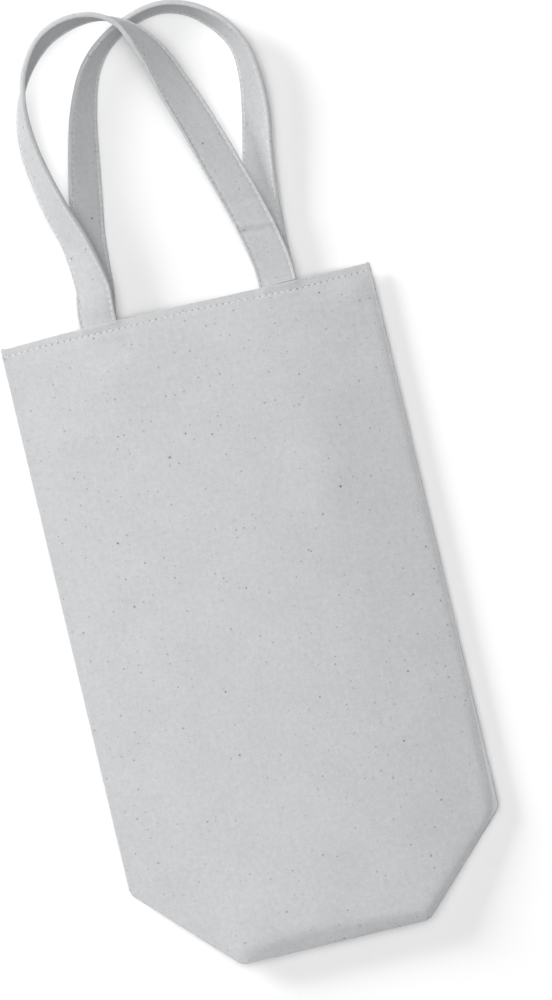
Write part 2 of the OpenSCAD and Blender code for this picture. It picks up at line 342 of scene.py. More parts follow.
def edge_distance(x, y):
    """Distance in the front from its lower edge."""
    slanted = smooth(HALF_W - 2, HALF_W + 2, abs(x))
    return (y - bottom_y(("front", x, 0))) * (1 - slanted + slanted * cos(SLANT))


def front_lift(x, y):
    """What the front stands above its plain shape: puff, slack, hills, the hem and the strap ends."""
    from_side = WALL_END_X - abs(x)
    from_edge = edge_distance(x, y)
    limits = [crown(x, y), mouth_rise(y), lower_rise(x, from_edge)]
    if x > 0:
        limits.append(side_rise(y, from_side))
    puff = max(0.0, soft_least(*limits))
    inside = smooth(0, EDGE_FADE, from_side) * smooth(0, EDGE_FADE, from_edge)
    slack = sum(h * rough(x / across, y / along, at) for h, across, along, at in SLACK)
    wrinkles = WRINKLE_H * rough(x / 34 + y / 60, y / 9 - x / 40, 5.7)
    wrinkles *= WRINKLE_LOW + (1 - WRINKLE_LOW) * smooth(*WRINKLE_YS, y)
    hills = sum(h * exp(-((x - hx) / wx) ** 2 - ((y - hy) / wy) ** 2) for hx, hy, wx, wy, h in HILLS)
    hills *= smooth(0, 8, from_side) * smooth(0, EDGE_FADE, from_edge)
    lift = puff + inside * (slack + wrinkles) + hills
    edge = smooth(0, 4, from_side)
    hem = HEM_STEP * smooth(-1.4, -0.2, y - (MOUTH_Y - HEM_DEPTH))
    groove = -GROOVE_H * hump(y - (MOUTH_Y - HEM_STITCH_DROP) - hem_wander(x), GROOVE_W)
    ruffle = RUFFLE_H * sin(x / 1.9 + 1.6 * sin(x / 7)) * smooth(MOUTH_Y - 16, MOUTH_Y - 5, y)
    over = sum(smooth(-1.2, 1.2, STRAP_W / 2 - abs(x - strap_x)) for strap_x in STRAP_XS)
    strap = STRAP_BUMP * over * smooth(-3.2, 0.4, y - (MOUTH_Y - STRAP_END_L))
    strap += STRAP_LIFT * over * smooth(MOUTH_Y - HEM_STITCH_DROP, MOUTH_Y - HEM_R, y)
    droop = -MOUTH_DROOP * (1 - over) * smooth(MOUTH_Y - 13, MOUTH_Y + 4, y)
    return lift + edge * (hem + groove + ruffle + strap + droop)


def back_lift(x, y):
    """What the back rises from the ground: only near its edges, with a little slack in the sides."""
    from_side = WALL_END_X - abs(x)
    from_bottom = y - bottom_y(("back", x, 0))
    inside = smooth(0, 16, from_side) * smooth(0, 14, from_bottom)
    slack = BACK_SLACK * (1 + rough(x / 40, y / 60, 14.2))
    hem = BACK_HEM_LIFT * smooth(MOUTH_Y - 14, MOUTH_Y - 8, y)
    return inside * slack * smooth(20, 60, abs(x)) + BACK_LIFT + hem


def wall(column, y):
    """A point on the outer face of the walls."""
    part, at, side = column
    if part == "front":
        bow = MOUTH_BOW * hump(at - BOW_X, BOW_W) * smooth(90, MOUTH_Y, y)
        high = y + bow * smooth(0, 20, WALL_END_X - abs(at))
        return Vector((at, high, TOP_Z - wall_drop(at, y, CREASE_SOFT, CREASE_SHARP) + front_lift(at, y)))
    if part == "back":
        return Vector((at, y, wall_drop(at, y, BACK_CREASE_SOFT, BACK_CREASE_SHARP) + back_lift(at, y)))
    angle = radians(at)
    return Vector((side * (FOLD_X + SKIN_OUT * cos(angle)), y, MID_Z + SKIN_OUT * sin(angle)))


def wall_axes(column, y):
    """The outward direction at a point of a wall, and the direction along the wall away from the middle."""
    part, at, side = column
    if part == "fold":
        angle = radians(at)
        out = Vector((side * cos(angle), 0, sin(angle)))
        return out, Vector((side * sin(angle), 0, -cos(angle)))
    near = 0.4
    across = wall((part, at + near, side), y) - wall((part, at - near, side), y)
    along = wall(column, y + near) - wall(column, y - near)
    out = across.cross(along).normalized()
    if (out.z > 0) != (part == "front"):
        out = -out
    return out, across.normalized() * copysign(1, at)


def edge_lean(column):
    """How far the lower edge's outward direction leans from straight down the bag towards the side."""
    part, at, side = column
    if part == "fold":
        return radians(90) * at / FOLD_END
    x = abs(at)
    along_round = (x - WALL_END_X + SIDE_CORNER_R) / SIDE_CORNER_R
    if along_round > sin(SLANT):
        return asin(min(1.0, along_round))
    return atan(1 / (1 + exp((HALF_W - x) / BOTTOM_CORNER_SOFT)))


def lip(column, share):
    """A point on the round of the lower edge, from the wall at share 0 to the turned-in end at 1."""
    part, at, side = column
    y = bottom_y(column)
    out, tangent = wall_axes(column, y)
    out = Vector((out.x, 0, out.z)).normalized()
    lean = edge_lean(column)
    down = tangent * sin(lean) + Vector((0, -1, 0)) * cos(lean)
    start = degrees(atan(sum(edge_slope(at)))) if part == "front" else 0.0
    end = LIP_END if part != "fold" else FOLD_LIP_END + (LIP_END - FOLD_LIP_END) * (at / FOLD_END) ** 2
    first, angle = radians(start), radians(start + (end - start) * share)
    return wall(column, y) + SKIN_OUT * (
        out * (cos(angle) - cos(first)) + down * (sin(angle) - sin(first)))


def hem_round(column, angle, axis_y=MOUTH_Y - HEM_R):
    """A point on the round of the mouth edge, from the outer face at 0 to the turned hem at 180 degrees."""
    out, _ = wall_axes(column, axis_y)
    turn = radians(angle)
    return wall(column, axis_y) + HEM_R * (out * (cos(turn) - 1) + Vector((0, 1, 0)) * sin(turn))


def back_lip(angle, y):
    """A point on the round that closes the crease between the back and its right side as the bag opens."""
    column = ("back", HALF_W, 1)
    out, _ = wall_axes(column, y)
    turn = radians(angle)
    return wall(column, y) + SKIN_OUT * (out * (cos(turn) - 1) + Vector((1, 0, 0)) * sin(turn))


def row_y(column, y):
    """Y of a row: level in the upper bag, and drawn in to the slanted edge lower down."""
    level = -90.0
    if y >= level:
        return y
    low = bottom_y(column)
    return low + (y + HALF_H) / (level + HALF_H) * (level - low)


def wall_place(column, row):
    """Where a vertex of a wall or of its turned hem lies."""
    kind, value = row
    if kind == "lip":
        return lip(column, value)
    if kind == "hem":
        return hem_round(column, value)
    y = row_y(column, value)
    if kind == "facing":
        out, _ = wall_axes(column, y)
        return wall(column, y) - 2 * HEM_R * out
    if column[0] == "back lip":
        return back_lip(column[1], y)
    return wall(column, y)


def girth(column):
    """Distance round the bag from the middle of the front, positive to the right."""
    part, at, side = column
    if part == "front":
        return at
    if part == "fold":
        return side * (WALL_END_X + FOLD_L * (FOLD_END - at) / (2 * FOLD_END))
    return side * (WALL_END_X + FOLD_L + WALL_END_X - side * at)


def wall_flat(column, row):
    """Cloth coordinates of a wall: round the bag, and up from the bottom edge."""
    kind, value = row
    if kind == "lip":
        return girth(column), bottom_y(column) - radians(LIP_END * value) * SKIN_OUT
    if kind == "hem":
        return girth(column), MOUTH_Y + radians(value) * HEM_R
    if kind == "facing":
        return girth(column), 2 * MOUTH_Y - value
    return girth(column), row_y(column, value)


LIP_ROWS = [("lip", 1 - i / 9) for i in range(9)]
WALL_ROWS = [("wall", y) for y in chain(
    steps(-HALF_H, -HALF_H + 6, 0.6), steps(-HALF_H + 6, -HALF_H + 14, 1.0), steps(-HALF_H + 14, -90, 1.8),
    steps(-90, 144, 2.2), steps(144, MOUTH_Y - HEM_R, 0.5))]
HEM_ROWS = [("hem", a) for a in steps(22.5, 180, 22.5)]
FACING_ROWS = [("facing", y) for y in steps(MOUTH_Y - HEM_R, MOUTH_Y - HEM_DEPTH, 0.9)]


def wall_columns(part, start, end, side):
    """Columns along a wall, closer together at its crease and near its side fold."""
    low, high = sorted((abs(start), abs(end)))
    round_x = WALL_END_X - SIDE_CORNER_R
    round_start = round_x + SIDE_CORNER_R * sin(SLANT)
    stops = [low, HALF_W - 9, HALF_W + 9, WALL_END_X - 6, round_start]
    spacings = [2.2, 1.1, 2.2, 1.1]
    places = []
    for i, spacing in enumerate(spacings):
        a, b = max(stops[i], low), min(stops[i + 1], high)
        if b > a:
            places = chain(places, steps(a, b, spacing))
    if high > round_start:
        places = chain(places, [round_x + SIDE_CORNER_R * sin(radians(a)) for a in steps(45, 90, 7.5)])
    if abs(start) > abs(end):
        places.reverse()
    sign = copysign(1, start + end)
    return [(part, sign * x, side) for x in places]


def fold_columns(start, end, side):
    """Columns round a side fold."""
    return [("fold", a, side) for a in steps(start, end, 16.2)]


def back_columns():
    """Columns from the back's right crease to its left cut, all counted round the bag's left side."""
    left = wall_columns("back", 0, -SIDE_CUT_X, -1)
    right = [("back", c[1], -1) for c in wall_columns("back", HALF_W, 0, 1)]
    return right[:-1] + left


# The pieces that the walls are cut into, each a run of columns
ZONES = {
    "front_left": wall_columns("front", -SIDE_CUT_X, FRONT_CUT_X, -1),
    "front_right": wall_columns("front", FRONT_CUT_X, SIDE_CUT_X, 1),
    "left_edge": wall_columns("back", -SIDE_CUT_X, -WALL_END_X, -1)
    + fold_columns(-FOLD_END, FOLD_END, -1)[1:-1]
    + wall_columns("front", -WALL_END_X, -SIDE_CUT_X, -1),
    "right_edge": wall_columns("front", SIDE_CUT_X, WALL_END_X, 1)
    + fold_columns(FOLD_END, -FOLD_END, 1)[1:-1]
    + wall_columns("back", WALL_END_X, HALF_W, 1),
    "back": back_columns(),
}

# Which bodies each piece of wall bends between, and where
BEND_IN, BEND_OUT = HALF_W - BLEND_REACH, HALF_W + BLEND_REACH
BENDS = {
    "front_left": ("front", "left_front", (-BEND_IN, 0, TOP_Z), (-BEND_OUT, 0, TOP_Z)),
    "front_right": ("front", "right_front", (BEND_IN, 0, TOP_Z), (BEND_OUT, 0, TOP_Z)),
    "left_edge": ("left_back", "left_front", (-FOLD_X, 0, MID_Z - SKIN_OUT), (-FOLD_X, 0, MID_Z + SKIN_OUT)),
    "right_edge": ("right_front", "right_back", (FOLD_X, 0, MID_Z + SKIN_OUT), (FOLD_X, 0, MID_Z - SKIN_OUT)),
    "back": ("back", "left_back", (-BEND_IN, 0, 0), (-BEND_OUT, 0, 0)),
}


def node_names(zone, layer=None):
    """The CAD's nodes that a piece of wall stands for, or its hem or its stitching."""
    cloth = {"front": "panel", "back": "panel"}
    return [body + "_" + (layer or cloth.get(body, "side")) for body in BENDS[zone][:2]]


def bend(piece, zone):
    """Bakes a piece of wall's transform into its mesh. It works out the bend's places between its two bodies
    but does not make the piece follow them.
    """
    body_a, body_b, start, end = BENDS[zone]
    [c * MM for c in start]
    [c * MM for c in end]
    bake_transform(piece)


def flat_area(columns, rows):
    """Flat area of a piece of wall in square millimetres, from its cloth coordinates."""
    area = 0.0
    for a, b in zip(columns, columns[1:]):
        width = abs(girth(b) - girth(a))
        heights = [abs(wall_flat(c, rows[-1])[1] - wall_flat(c, rows[0])[1]) for c in (a, b)]
        area += width * sum(heights) / 2
    return area


def build_walls(canvas, inner_canvas):
    """The cloth of the front, the back and the two sides, each with its hem turned inside the mouth."""
    for zone, columns in ZONES.items():
        cloth_columns = columns
        if zone == "back":
            cloth_columns = [("back lip", a, 1) for a in steps(88, 0, 22)][:-1] + columns
        rows = LIP_ROWS + WALL_ROWS + HEM_ROWS

        def place(column, row):
            if column[0] == "back lip" and row[0] != "wall":
                edge = wall_place(("back", HALF_W, 1), row)
                y = row_y(("back", HALF_W, 1), -HALF_H if row[0] == "lip" else MOUTH_Y - HEM_R)
                return edge + back_lip(column[1], y) - back_lip(0, y)
            return wall_place(column, row)

        def flat(column, row):
            if column[0] == "back lip":
                u, v = wall_flat(("back", HALF_W, -1), row)
                return u - radians(column[1]) * SKIN_OUT, v
            return wall_flat(column, row)

        cloth = make_cloth(zone + "_cloth", cloth_columns, rows, place, flat,
                           canvas, node_names(zone), limit_x=OUTER_X)
        bend(cloth, zone)
        hem = make_cloth(zone + "_turned_hem", columns, FACING_ROWS, wall_place, wall_flat,
                         inner_canvas, node_names(zone, "hem"))
        bend(hem, zone)

        width = abs(girth(columns[-1]) - girth(columns[0]))
        height = BAG_H + 2 * HEM_R
        min(flat_area(columns, rows), width * height) * MM * MM


# The base, folded in between the front and the back

def base_offset(v):
    """How far the base's outer face lies out from the line between its folds."""
    return SKIN_OUT - (CLOTH_T + FOLD_GAP) * v / HALF_D


def base_half_width(v):
    """Half the width of the base at a distance from its edge: its outer corners are round."""
    if v >= BASE_CORNER_R:
        return HALF_W
    return HALF_W - BASE_CORNER_R + sqrt(max(BASE_CORNER_R ** 2 - (BASE_CORNER_R - v) ** 2, 0))


def base_plane(x, v, out_by, half):
    """A point of a half of the base, by its x, its distance from the edge and how far out it lies."""
    way = 1 if half == "front" else -1
    root = Vector((x, -HALF_H, MID_Z + way * (MID_Z - SKIN_OUT)))
    return root + Vector((0, COS_FOLD, -way * SIN_FOLD)) * v + base_out(half) * out_by


def base_out(half):
    """The outward direction of a half of the base."""
    return Vector((0, -SIN_FOLD, -COS_FOLD if half == "front" else COS_FOLD))


def base_slack(x, v):
    """How far the base lies off its plane: it is slack inside, and flat at its edges."""
    fade = smooth(0, 14, HALF_D - v) * smooth(0, 6, v) * smooth(0, 8, HALF_W - abs(x))
    return BASE_SLACK * fade * (rough(x / 30, v / 25, 21.0) - 0.2)


def base_place(column, row):
    """A point on the base's outer face: a row is on the front half, round the fold, or on the back half."""
    kind, value = column
    half, v = row
    reach = HALF_D if half == "fold" else v
    width = base_half_width(reach)
    x = copysign(width, value) if kind == "lip" else value * width / HALF_W
    if half == "fold":
        angle = radians(v)
        out = Vector((0, -cos(angle), -sin(angle)))
        point = Vector((x, -HALF_H + HALF_D * COS_FOLD, MID_Z)) - SKIN_IN * out
    else:
        out = base_out(half)
        point = base_plane(x, v, base_offset(v) + base_slack(x, v), half)
    if kind == "lip":
        turn = radians(abs(value))
        side = Vector((copysign(1, value), 0, 0))
        point += SKIN_OUT * (out * (cos(turn) - 1) + side * sin(turn))
    return point


def base_flat(column, row):
    """Cloth coordinates of the base."""
    kind, value = column
    half, v = row
    u = value if kind == "at" else copysign(HALF_W, value) + radians(value) * SKIN_OUT
    if half == "fold":
        return u, HALF_D + BASE_CLOTH_V
    return u, (v if half == "front" else BAG_D - v) + BASE_CLOTH_V


def build_base(canvas):
    """The base, one cloth that is folded in along its middle."""
    lips = steps(CORNER_LIP_END, 0, 22.5)[:-1]
    columns = [("lip", a) for a in lips]
    columns += [("at", x) for x in steps(HALF_W, -HALF_W, 2.0)]
    columns += [("lip", -a) for a in reversed(lips)]
    down = chain(steps(0, BASE_CORNER_R, 0.5), steps(BASE_CORNER_R, HALF_D, 1.8))
    rows = [("front", v) for v in down]
    rows += [("fold", a) for a in steps(FOLD_END, -FOLD_END, 27)[1:-1]]
    rows += [("back", v) for v in reversed(down)]
    base = make_cloth("base_cloth", columns, rows, base_place, base_flat,
                      canvas, ("base_back_half", "base_front_half"))
    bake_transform(base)


def mirrored(point, side, half):
    """A point of the right front quarter, taken to the left side or to the back half."""
    return Vector((side * point.x, point.y, point.z if half == "front" else TOP_Z - point.z))


def build_corners(canvas):
    """The four triangles that fold in at the base corners and finish the sides when the bag opens."""
    fold_turn = radians(180) - 2 * atan(SLOPE / sqrt(2))
    out = Vector((SIN_FOLD, 0, COS_FOLD))
    run = Vector((COS_FOLD, 0, -SIN_FOLD))
    slant = (run + Vector((0, 1, 0))).normalized()
    away = slant.cross(out)
    inward = away * cos(fold_turn) - out * sin(fold_turn)
    facing = out * cos(fold_turn) + away * sin(fold_turn)
    root = Vector((HALF_W, -HALF_H, TOP_Z - SKIN_OUT))
    length = HALF_D * sqrt(2)
    start_gap, end_gap = 1.0, 2.4
    for side, side_name in SIDES:
        for half in ("back", "front"):
            flipped = (side == 1) != (half == "front")
            columns = steps(start_gap, length - end_gap, 1.8)
            if not flipped:
                columns.reverse()
            rows = [i / 14 for i in range(15)]

            def place(along, share):
                across = share * min(along, length - along)
                offset = SKIN_OUT - (CLOTH_T + FOLD_GAP) * across * sqrt(2) / HALF_D
                return mirrored(root + slant * along + inward * across + facing * offset, side, half)

            def flat(along, share):
                across = share * min(along, length - along)
                turn = sqrt(0.5)
                return CORNER_CLOTH_U + (along + across) * turn, (along - across) * turn

            name = side_name + "_" + half + "_corner"
            corner = make_cloth(name + "_cloth", columns, rows, place, flat, canvas, (name,))
            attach(corner, name + "_flap")


# Seam allowances inside the bag

def ribbon(rings, section, place, flat):
    """A closed band: section points are (across, above), and place(ring, across, above) puts them."""
    bm = grid(rings, section + section[:1], lambda ring, p: place(ring, *p), flat)
    bmesh.ops.remove_doubles(bm, verts=bm.verts[:], dist=1e-5)
    edges = [e for e in bm.edges if len(e.link_faces) == 1]
    bmesh.ops.holes_fill(bm, edges=edges, sides=0)
    bmesh.ops.recalc_face_normals(bm, faces=bm.faces[:])
    return bm


def build_seams(inner_canvas):
    """The cloth's edges that were sewn together, inside the side folds and the base corners."""
    section = [(0.0, 0.0), (0.0, 0.05), (1.5, 0.3), (3.5, 0.68), (5.5, 1.0), (6.6, 1.12), (6.9, 0.9),
               (SEAM_W, 0.5), (6.9, 0.1), (6.6, 0.0), (3.5, 0.0)]
    seam_cut = (2 * CLOTH_T + FOLD_GAP) / SLOPE
    low, high = -HALF_H + HALF_D + seam_cut, MOUTH_Y - HEM_DEPTH - FOLD_GAP
    for side, name in SIDES:
        def place(y, across, above):
            free = across / SEAM_W
            wave = 0.12 * free * (1 + rough(y / 9, side * 4.0, 0.5))
            u = HALF_D - FOLD_GAP - across * (1 + 0.04 * rough(y / 5, side * 9.0, 2.5))
            w = above + wave * (above > 0.2)
            return Vector((side * (HALF_W + u * COS_FOLD - w * SIN_FOLD), y,
                           SKIN_OUT + u * SIN_FOLD + (w - SKIN_IN) * COS_FOLD))

        bm = ribbon(steps(low, high, 2.5), section, place, lambda y, p: (SIDE_SEAM_CLOTH_U + p[0], y))
        node = name + "_side_seam"
        seam = make_piece(node + "_allowance", bm, inner_canvas, (node,))
        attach(seam, name + "_back")

    fold_cut = (CLOTH_T + FOLD_GAP) / SLOPE
    inset = 2 * (CLOTH_T + FOLD_GAP)
    for half in ("back", "front"):
        for side, side_name in SIDES:
            def place(v, across, above):
                x = side * (HALF_W - inset - SEAM_W + across)
                return base_plane(x, v, base_offset(v) - CLOTH_T - 0.02 - min(above, 1.1), half)

            flat_section = [(0.0, 0.0), (0.0, 1.0), (0.4, 1.1),
                            (SEAM_W - 0.4, 1.1), (SEAM_W, 1.0), (SEAM_W, 0.0)]
            bm = ribbon(steps(seam_cut, HALF_D - fold_cut, 2.0), flat_section, place,
                        lambda v, p: (BASE_SEAM_CLOTH_U + p[0], v))
            body = "base_" + half
            seam = make_piece(body + "_" + side_name + "_seam_allowance", bm, inner_canvas,
                              (body + "_seams",))
            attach(seam, body)


# Stitches

def stitch_shape():
    """The mesh that every stitch is a copy of: a short, round thread along X."""
    bm = bmesh.new()
    size = Matrix.Diagonal((STITCH_L / 2, THREAD_W / 2, THREAD_T / 2, 1))
    bmesh.ops.create_uvsphere(bm, u_segments=10, v_segments=8, radius=1,
                              matrix=size @ Matrix.Rotation(pi / 2, 4, "Y"))
    mesh = bpy.data.meshes.new("stitch")
    bm.to_mesh(mesh)
    bm.free()
    return mesh


def add_stitch(bm, shape, middle, along, out, slant):
    """Adds one stitch, which lies on the cloth and dips into it at both ends."""
    side = out.cross(along).normalized()
    turn = radians(slant)
    way = along * cos(turn) + side * sin(turn)
    side = out.cross(way).normalized()
    stitch = shape.copy()
    stitch.transform(Matrix.Translation(middle) @ Matrix((way, side, out)).transposed().to_4x4())
    bm.from_mesh(stitch)
    bpy.data.meshes.remove(stitch)


def column_at(u):
    """The column of the walls at a distance round the bag."""
    side = -1 if u < 0 else 1
    u = abs(u)
    if u <= WALL_END_X:
        return ("front", side * u, side)
    if u <= WALL_END_X + FOLD_L:
        return ("fold", FOLD_END - (u - WALL_END_X) / FOLD_L * 2 * FOLD_END, side)
    return ("back", side * (2 * WALL_END_X + FOLD_L - u), side)


def hem_wander(u):
    """How far the hem's stitching strays from its line: slow waves, which the needle holes share."""
    return WANDER_H * sin(u / WANDER_L + WANDER_START)


def build_hem_stitching(stitch, thread):
    """A row of stitches below the mouth, on the outer face and on the turned hem."""
    y = MOUTH_Y - HEM_STITCH_DROP
    pieces = {}
    for zone, columns in ZONES.items():
        ends = sorted((girth(columns[0]), girth(columns[-1])))
        bm = bmesh.new()
        for i in range(floor(ends[0] / STITCH_PITCH), ceil(ends[1] / STITCH_PITCH)):
            u = (i + 0.5) * STITCH_PITCH
            if not ends[0] <= u < ends[1]:
                continue
            column = column_at(u)
            out, tangent = wall_axes(column, y)
            wander = hem_wander(u) + 0.12 * rough(u / 4, 5.5, 0)
            middle = wall(column, y + wander)
            along = tangent.normalized()
            slant = STITCH_SLANT + 16 * rough(u * 0.7, 1.5, 0)
            sink = 0.1 + 0.1 * rough(u * 0.9, 7.5, 0)
            add_stitch(bm, stitch, middle - out * sink, along, out, slant)
            add_stitch(bm, stitch, middle - out * (2 * HEM_R + 0.03), along, -out, -slant)
        pieces[zone] = make_piece(zone + "_hem_stitches", bm, thread,
                                  node_names(zone, "hem_stitching"), smooth_below=180)
        bend(pieces[zone], zone)
    return pieces


# Handles
# Routes from the left end to the right one, each row: place across as a share of half the spacing,
# reach as a share of the full reach, lift as a share of the full lift, and the strap's tilt in degrees
FRONT_ROUTE_SHARES = [
    (-1, 0, 0, 0), (-0.997, 0.036, 0.03, 6), (-0.981, 0.083, 0.08, 16), (-0.968, 0.138, 0.15, 29),
    (-1.034, 0.275, 0.3, 47), (-1.145, 0.389, 0.42, 53), (-1.224, 0.49, 0.54, 59),
    (-1.286, 0.608, 0.68, 66), (-1.282, 0.714, 0.82, 76), (-1.222, 0.797, 0.92, 87),
    (-1.09, 0.881, 0.97, 98), (-0.872, 0.952, 1, 106), (-0.597, 0.989, 1, 104), (-0.293, 0.992, 1, 94),
    (-0.052, 0.96, 1, 81), (0.115, 0.904, 0.98, 63), (0.262, 0.821, 0.9, 45), (0.376, 0.724, 0.78, 31),
    (0.543, 0.58, 0.6, 18), (0.719, 0.405, 0.38, 9), (0.845, 0.275, 0.24, 6), (0.94, 0.158, 0.13, 4),
    (0.985, 0.081, 0.06, 2), (0.998, 0.034, 0.02, 1), (1, 0, 0, 0),
]
BACK_ROUTE_SHARES = [
    (-1, 0, 0, 0), (-0.996, 0.036, 0.04, 4), (-0.97, 0.085, 0.12, 10), (-0.941, 0.139, 0.22, 17),
    (-0.902, 0.292, 0.55, 27), (-0.834, 0.411, 0.8, 32), (-0.743, 0.558, 1, 40), (-0.634, 0.707, 1, 51),
    (-0.47, 0.838, 1, 64), (-0.241, 0.921, 1, 74), (0.05, 0.974, 1, 79), (0.332, 0.998, 1, 80),
    (0.586, 0.992, 1, 79), (0.836, 0.955, 1, 76), (1.066, 0.885, 1, 71), (1.197, 0.8, 1, 67),
    (1.228, 0.691, 1, 58), (1.198, 0.581, 0.95, 48), (1.122, 0.456, 0.8, 41), (1.055, 0.321, 0.55, 33),
    (1.012, 0.179, 0.3, 21), (1.001, 0.09, 0.14, 10), (1, 0.036, 0.04, 3), (1, 0, 0, 0),
]
# A strap's round edges and their beads, its rows of topstitching, its ends and its rings
EDGE_R, BEAD = 0.7, 0.3
ROW_X = STRAP_W / 2 - TOPSTITCH_INSET
END_X = STRAP_SPACING / 2
END_LIFT = 2 * CLOTH_T
FRONT_ROOT_Z = TOP_Z - END_LIFT - STRAP_T / 2
FRONT_TOP_Z = STRAP_W + CROSS_GAP + STRAP_W / 2
RING_SPACING = 0.75
# Between its rows of topstitching, a strap is drawn in along each row, and more so at the needle holes
ROW_GROOVE, HOLE_GROOVE, ROW_GROOVE_W = 0.2, 0.14, 0.7
SCALLOP_H, UNEVEN_H, STRAP_SLACK = 0.05, 0.14, 0.1
CREASE_W, CREASE_LEAN = 1.9, 0.35
# In its cloth coordinates, its two faces lie this far from the middle, and each strap starts this far on
FACE_CLOTH_V, STRAP_CLOTH_U = 12, 50
# A distance past the mouth, meant for where the handles' own bodies take over; the place worked out from it
# is not used
HANDLE_BLEND = 8
# Creases of the front strap near its right end: distance from that end, and height
CROSSING_CREASES = ((27, -0.4), (30.5, 0.3), (11, -0.25), (43, -0.25))


def route_value(rows, s, item):
    """One item of a route at a place along its rows, on a smooth curve through them."""
    i = min(int(s), len(rows) - 2)
    t = s - i
    a, b, c, d = (rows[min(max(i + k, 0), len(rows) - 1)][item] for k in (-1, 0, 1, 2))
    return (2 * b + (c - a) * t + (2 * a - 5 * b + 4 * c - d) * t * t
            + (3 * b - a - 3 * c + d) * t * t * t) / 2


def front_middle(s):
    """The middle of the front strap at a place along its route."""
    x, reach, lift, _ = (route_value(FRONT_ROUTE_SHARES, s, k) for k in range(4))
    z = FRONT_ROOT_Z + (FRONT_TOP_Z - FRONT_ROOT_Z) * lift
    return Vector((STRAP_SHIFT + x * END_X, MOUTH_Y + FOLD_GAP + reach * FRONT_REACH, z))


def back_middle(s):
    """The same for the back strap, which lies on its lower edge."""
    x, reach, lift, tilt = (route_value(BACK_ROUTE_SHARES, s, k) for k in range(4))
    turn = radians(tilt)
    rest = STRAP_T / 2 + BEAD * min(lift, 1)
    z = END_LIFT * max(1 - lift, 0) + STRAP_W / 2 * sin(turn) + rest * cos(turn)
    return Vector((STRAP_SHIFT + x * END_X, MOUTH_Y + FOLD_GAP + reach * BACK_REACH, z))


class Strap:
    """The run of one strap: evenly spaced places along it, with their middles and directions."""

    def __init__(self, front):
        self.rows = FRONT_ROUTE_SHARES if front else BACK_ROUTE_SHARES
        self.middle = front_middle if front else back_middle
        self.lean = -1 if front else 1
        last, fine = len(self.rows) - 1, 40
        places = [i / fine for i in range(last * fine + 1)]
        run = [0.0]
        for a, b in zip(places, places[1:]):
            run.append(run[-1] + (self.middle(b) - self.middle(a)).length)
        self.length = run[-1]
        count = round(self.length / RING_SPACING)
        self.rings = []
        at = 0
        for i in range(count + 1):
            wanted = self.length * i / count
            while at < len(run) - 2 and run[at + 1] < wanted:
                at += 1
            share = (wanted - run[at]) / (run[at + 1] - run[at])
            self.rings.append(self.ring(min(places[at] + share / fine, last), last, wanted))

    def ring(self, s, last, run):
        """Length so far, middle, width direction and face direction at a place along the route."""
        nudge = 0.02
        way = self.middle(min(s + nudge, last)) - self.middle(max(s - nudge, 0))
        plan = Vector((way.x, way.y, 0)).normalized()
        out = Vector((-plan.y, plan.x, 0))
        if s <= 0 or s >= last:
            out = Vector((-1 if s <= 0 else 1, 0, 0))
        tilt = radians(route_value(self.rows, s, 3))
        up = Vector((0, 0, 1))
        across = out * cos(tilt) + up * self.lean * sin(tilt)
        return run, self.middle(s), across, up * cos(tilt) - out * self.lean * sin(tilt)

    def frame_at(self, run):
        """Middle, width direction, face direction and direction of the run at a length along the strap."""
        place = min(max(run / self.length, 0), 1) * (len(self.rings) - 1)
        i = min(int(place), len(self.rings) - 2)
        a, b = self.rings[i], self.rings[i + 1]
        t = place - i
        middle, across, face = (a[k].lerp(b[k], t) for k in (1, 2, 3))
        return middle, across.normalized(), face.normalized(), (b[1] - a[1]).normalized()


def strap_half_thickness(across, run):
    """Half the thickness of the folded strap: full at its edges and drawn in along its stitching."""
    inner = STRAP_W / 2 - EDGE_R
    over = max(abs(across) - inner, 0) / EDGE_R
    edge = sqrt(max(1 - over * over, 0))
    hole = 0.5 + 0.5 * cos(2 * pi * run / STITCH_PITCH)
    groove = (ROW_GROOVE + HOLE_GROOVE * hole) * hump(abs(across) - ROW_X, ROW_GROOVE_W)
    bead = BEAD * smooth(ROW_X + 0.2, ROW_X + 0.9, abs(across))
    return (STRAP_T / 2 + bead) * edge * (1 - groove)


def strap_wave(run, across, seed):
    """Small unevenness of a strap's faces: soft cross creases and slack between the rows of stitching."""
    middle = 1 - (across / STRAP_W * 2) ** 2
    soft = STRAP_SLACK * rough(run / 11, across / 9, seed)
    return soft * (0.4 + 0.6 * middle)


def strap_section():
    """Round a strap: places across and the face they are on, closer together where its shape bends."""
    half = STRAP_W / 2
    offsets = [0, 0.04, 0.15, 0.35, EDGE_R, 0.95, 1.2, 1.5, TOPSTITCH_INSET, 2.1, 2.4, 3.1, 4.8, 7.0, half]
    right = [(half - o, 1) for o in offsets]
    top = right + [(-a, 1) for a, _ in reversed(right[:-1])]
    under = [(-a, -1) for a, _ in top[1:-1]]
    return top + under


